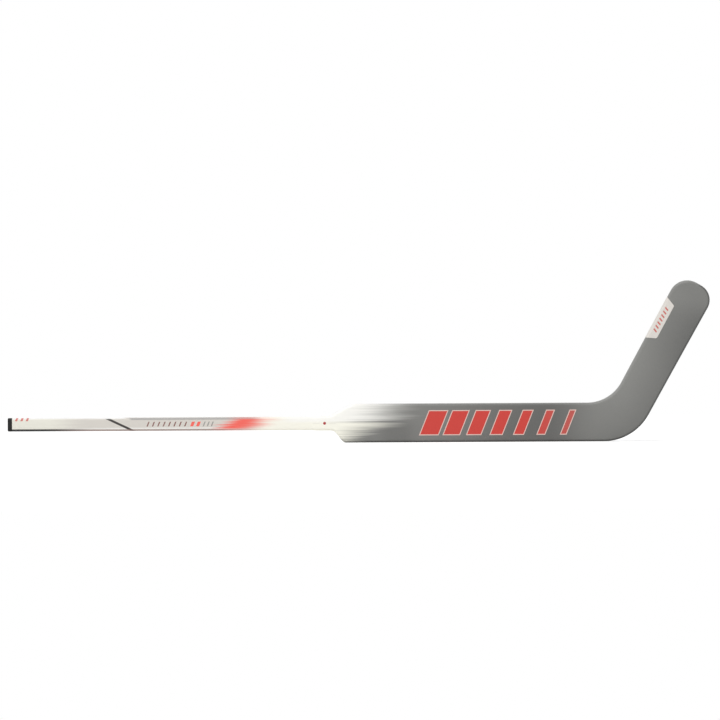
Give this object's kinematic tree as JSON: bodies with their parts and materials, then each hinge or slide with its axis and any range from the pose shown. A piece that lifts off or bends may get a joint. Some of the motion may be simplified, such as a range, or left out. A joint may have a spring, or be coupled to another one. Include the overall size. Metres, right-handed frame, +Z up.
{
  "type": "hockey goalie stick",
  "caption": "Goalie stick: a slim hollow shaft with a pull-out end plug, a wide flat paddle and an angled, curved blade, in grey paint with a pale shaft and red accents.",
  "frame": {"origin": "middle of the flat on the paddle's lower edge, at half of the stick's thickness", "axes": "+X along the shaft towards the blade, +Y out of the back (backhand) face, +Z up from the paddle's lower edge; the forehand face looks along -Y"},
  "size_m": [1.5686, 0.0434, 0.3584],
  "materials": {
    "shaft_paint": "satin",
    "laminate": "satin",
    "plug_plastic": "matte",
    "label_film": "satin",
    "dot_paint": "satin",
    "foam": "matte",
    "edge_wood": "matte",
    "rib_laminate": "satin"
  },
  "bodies": {
    "stick": {"shaft_tube": "shaft_paint", "front_shell": "laminate", "back_shell": "laminate", "blade_label": "label_film", "finger_dot": "dot_paint", "shaft_foam": "foam", "paddle_top_core": "foam", "paddle_bottom_core": "foam", "blade_top_core": "foam", "blade_bottom_core": "foam", "paddle_top_rail": "edge_wood", "paddle_bottom_rail": "edge_wood", "blade_top_rail": "edge_wood", "blade_sole_rail": "edge_wood", "toe_rail": "edge_wood", "heel_block": "edge_wood", "blade_rib": "rib_laminate"},
    "plug": {"end_plug": "plug_plastic"}
  },
  "joints": [
    {"name": "end_plug_pull", "type": "slide", "parent": "stick", "child": "plug", "axis": [-1, 0, 0], "range_m": [0, 0.05]}
  ]
}
